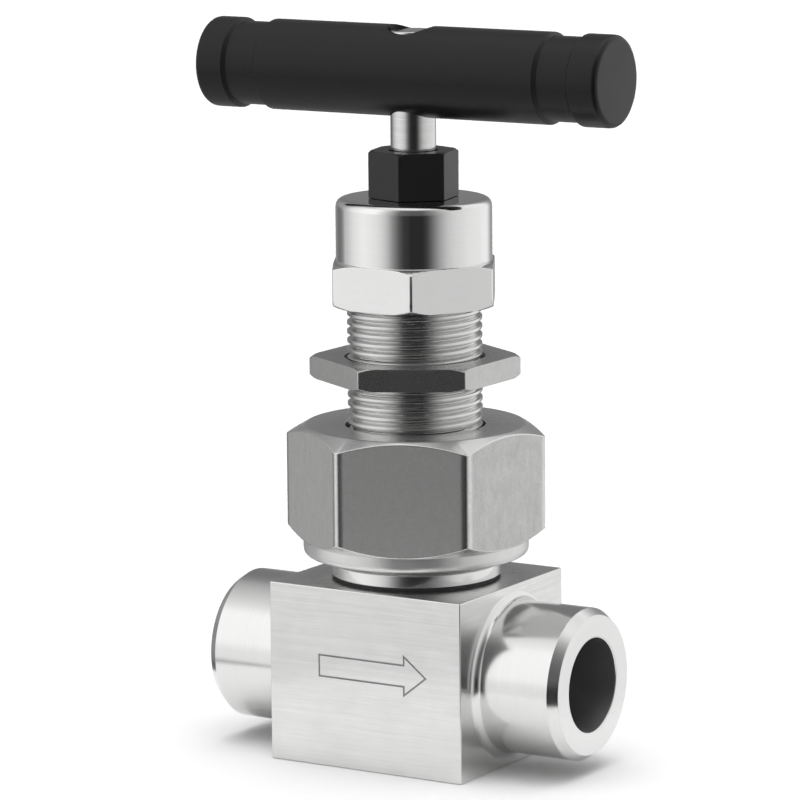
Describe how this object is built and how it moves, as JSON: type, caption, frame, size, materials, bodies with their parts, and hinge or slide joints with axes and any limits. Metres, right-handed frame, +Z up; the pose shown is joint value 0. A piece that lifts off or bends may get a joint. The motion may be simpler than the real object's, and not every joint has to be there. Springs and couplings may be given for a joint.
{
  "type": "needle valve",
  "caption": "Union-bonnet needle valve in steel: square block with butt-weld pipe ends, hex union nut, panel nut, packing bolt and black bar handle.",
  "frame": {"origin": "centre of the block's flat bottom face", "axes": "+Z up along the stem, +X along the flow from inlet to outlet, -Y out of the front face that carries the flow arrow"},
  "size_m": [0.0638, 0.0364, 0.1028],
  "materials": {
    "body_steel": "satin",
    "nut_steel": "satin",
    "turned_steel": "polished",
    "inner_steel": "satin",
    "seal_metal": "satin",
    "black_steel": "satin",
    "handle_black": "satin",
    "packing": "satin"
  },
  "bodies": {
    "valve": {"valve_body": "body_steel", "union_nut": "nut_steel", "bonnet": "turned_steel", "bonnet_seal": "seal_metal", "bonnet_cap": "turned_steel", "packing_bolt": "black_steel", "lower_gland": "inner_steel", "packing_bottom_adapter": "packing", "packing_ring_1": "packing", "packing_ring_2": "packing", "packing_ring_3": "packing", "packing_ring_4": "packing", "packing_ring_5": "packing", "packing_top_adapter": "packing", "upper_gland": "inner_steel"},
    "panel_nut": {"panel_nut": "nut_steel"},
    "stem_tip": {"stem_tip": "inner_steel"},
    "spindle": {"stem": "turned_steel", "handle_bar": "handle_black", "handle_set_screw": "black_steel"}
  },
  "joints": [
    {"name": "stem_lift", "type": "slide", "parent": "valve", "child": "stem_tip", "axis": [0, 0, 1], "range_m": [0, 0.00397]},
    {"name": "handle_turn", "type": "hinge", "parent": "stem_tip", "child": "spindle", "pos_m": [0, 0, 0.0964], "axis": [0, 0, 1], "range_deg": [0, 1350]},
    {"name": "panel_nut_travel", "type": "slide", "parent": "valve", "child": "panel_nut", "axis": [0, 0, 1], "range_m": [-0.0062, 0.0069]}
  ],
  "couplings": [
    {"joint": "handle_turn", "follows": "stem_lift", "rad_per_m": 5936.8}
  ]
}
